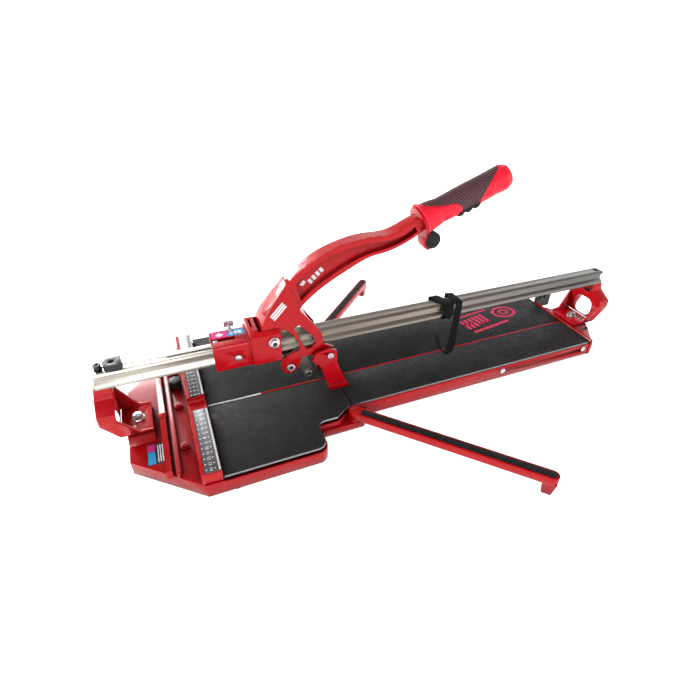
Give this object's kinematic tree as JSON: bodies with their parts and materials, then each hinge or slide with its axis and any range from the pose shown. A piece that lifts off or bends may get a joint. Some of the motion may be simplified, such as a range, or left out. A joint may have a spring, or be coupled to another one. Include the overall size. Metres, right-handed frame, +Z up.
{
  "type": "tile cutter",
  "caption": "Manual push tile cutter with a steel guide rail, sliding lever carriage, scoring wheel, breaking foot, sprung boards, ruled fence and folding side arms.",
  "frame": {"origin": "on the floor, at the centre of the bounding box, below the cutting line", "axes": "+X along the rail away from the fence, +Y across it, +Z up"},
  "size_m": [0.912, 0.6415, 0.3592],
  "materials": {
    "red_paint": "glossy powder coat",
    "steel": "brushed",
    "zinc": "zinc plated",
    "black_oxide": "black oxide",
    "board_metal": "satin",
    "mat_rubber": "matt",
    "black_rubber": "matt",
    "rule_steel": "matt printed",
    "grip_red": "satin",
    "grip_black": "textured",
    "nylon": "matt",
    "carbide": "ground",
    "webbing": "woven",
    "grey_plate": "satin",
    "black_plastic": "matt"
  },
  "bodies": {
    "base": {"front_casting": "red_paint", "rear_channel": "red_paint", "rear_casting": "red_paint", "front_post": "red_paint", "rear_post": "red_paint", "post_bolts": "zinc", "rail": "steel", "rail_bolts": "black_oxide", "stop_block": "black_plastic", "fence_bar": "red_paint", "ruler_near": "rule_steel", "ruler_far": "rule_steel", "fence_screws": "zinc", "steel_strip": "steel", "rear_plate_near": "board_metal", "rear_mat_near": "mat_rubber", "rear_plate_far": "board_metal", "rear_mat_far": "mat_rubber", "side_screws": "zinc", "rubber_feet": "black_rubber", "board_springs": "black_oxide", "arm_bolts": "zinc", "rear_bracket": "grey_plate", "bracket_screws": "zinc", "tie_strap": "webbing"},
    "board_near": {"front_plate_near": "board_metal", "front_mat_near": "mat_rubber"},
    "board_far": {"front_plate_far": "board_metal", "front_mat_far": "mat_rubber"},
    "side_arm_near": {"arm_near": "red_paint", "arm_pad_near": "black_rubber"},
    "side_arm_far": {"arm_far": "red_paint", "arm_pad_far": "black_rubber"},
    "carriage": {"carriage_housing": "red_paint", "slide_pads": "nylon", "pad_screws": "zinc", "slot_screw": "zinc", "pivot_bolt": "zinc", "roller_bracket": "grey_plate", "roller_axles": "black_oxide"},
    "front_roller": {"roller_left": "carbide"},
    "rear_roller": {"roller_right": "carbide"},
    "carriage_lock": {"thumb_screw": "zinc"},
    "lever": {"lever_casting": "red_paint", "grip_core": "grip_red", "grip_sleeve": "grip_black", "guard_bumper": "black_rubber", "wheel_holder": "steel", "holder_bolt": "zinc", "wheel_axle": "zinc", "breaker_pin": "zinc", "breaker_spring": "black_oxide"},
    "cutting_wheel": {"scoring_wheel": "carbide"},
    "breaker": {"breaker_foot": "red_paint"},
    "deck_lock": {"lock_knob": "black_plastic"}
  },
  "joints": [
    {"name": "board_near_press", "type": "slide", "parent": "base", "child": "board_near", "axis": [0, 0, 1], "range_m": [-0.003, 0], "stiffness_N_per_m": 6000, "springref_m": 0.002, "deforming": ["board_springs"]},
    {"name": "board_far_press", "type": "slide", "parent": "base", "child": "board_far", "axis": [0, 0, 1], "range_m": [-0.003, 0], "stiffness_N_per_m": 6000, "springref_m": 0.002, "deforming": ["board_springs"]},
    {"name": "side_arm_near_swing", "type": "hinge", "parent": "base", "child": "side_arm_near", "pos_m": [-0.106, -0.09, 0.03], "axis": [0, 0, 1], "range_deg": [-25, 46.5]},
    {"name": "side_arm_far_swing", "type": "hinge", "parent": "base", "child": "side_arm_far", "pos_m": [-0.106, 0.1175, 0.03], "axis": [0, 0, -1], "range_deg": [-25, 44.8]},
    {"name": "carriage_slide", "type": "slide", "parent": "base", "child": "carriage", "axis": [1, 0, 0], "range_m": [-0.09, 0.44], "deforming": ["tie_strap"]},
    {"name": "front_roller_spin", "type": "hinge", "parent": "carriage", "child": "front_roller", "pos_m": [-0.228, 0, 0.1113], "axis": [0, 1, 0], "continuous": true},
    {"name": "rear_roller_spin", "type": "hinge", "parent": "carriage", "child": "rear_roller", "pos_m": [-0.208, 0, 0.1113], "axis": [0, 1, 0], "continuous": true},
    {"name": "carriage_lock_turn", "type": "hinge", "parent": "carriage", "child": "carriage_lock", "pos_m": [-0.263, 0.017, 0.155], "axis": [0, 0, 1], "range_deg": [-90, 90]},
    {"name": "lever_swing", "type": "hinge", "parent": "carriage", "child": "lever", "pos_m": [-0.208, 0, 0.1473], "axis": [0, -1, 0], "range_deg": [0, 12]},
    {"name": "cutting_wheel_spin", "type": "hinge", "parent": "lever", "child": "cutting_wheel", "pos_m": [-0.152, 0, 0.058], "axis": [0, 1, 0], "continuous": true},
    {"name": "breaker_tilt", "type": "hinge", "parent": "lever", "child": "breaker", "pos_m": [-0.123, 0, 0.104], "axis": [0, 1, 0], "range_deg": [-6, 0], "stiffness_Nm_per_rad": 2, "springref_deg": 5.73},
    {"name": "deck_lock_turn", "type": "hinge", "parent": "base", "child": "deck_lock", "pos_m": [-0.356, 0.076, 0.035], "axis": [0, 0, 1], "range_deg": [-180, 180]}
  ]
}
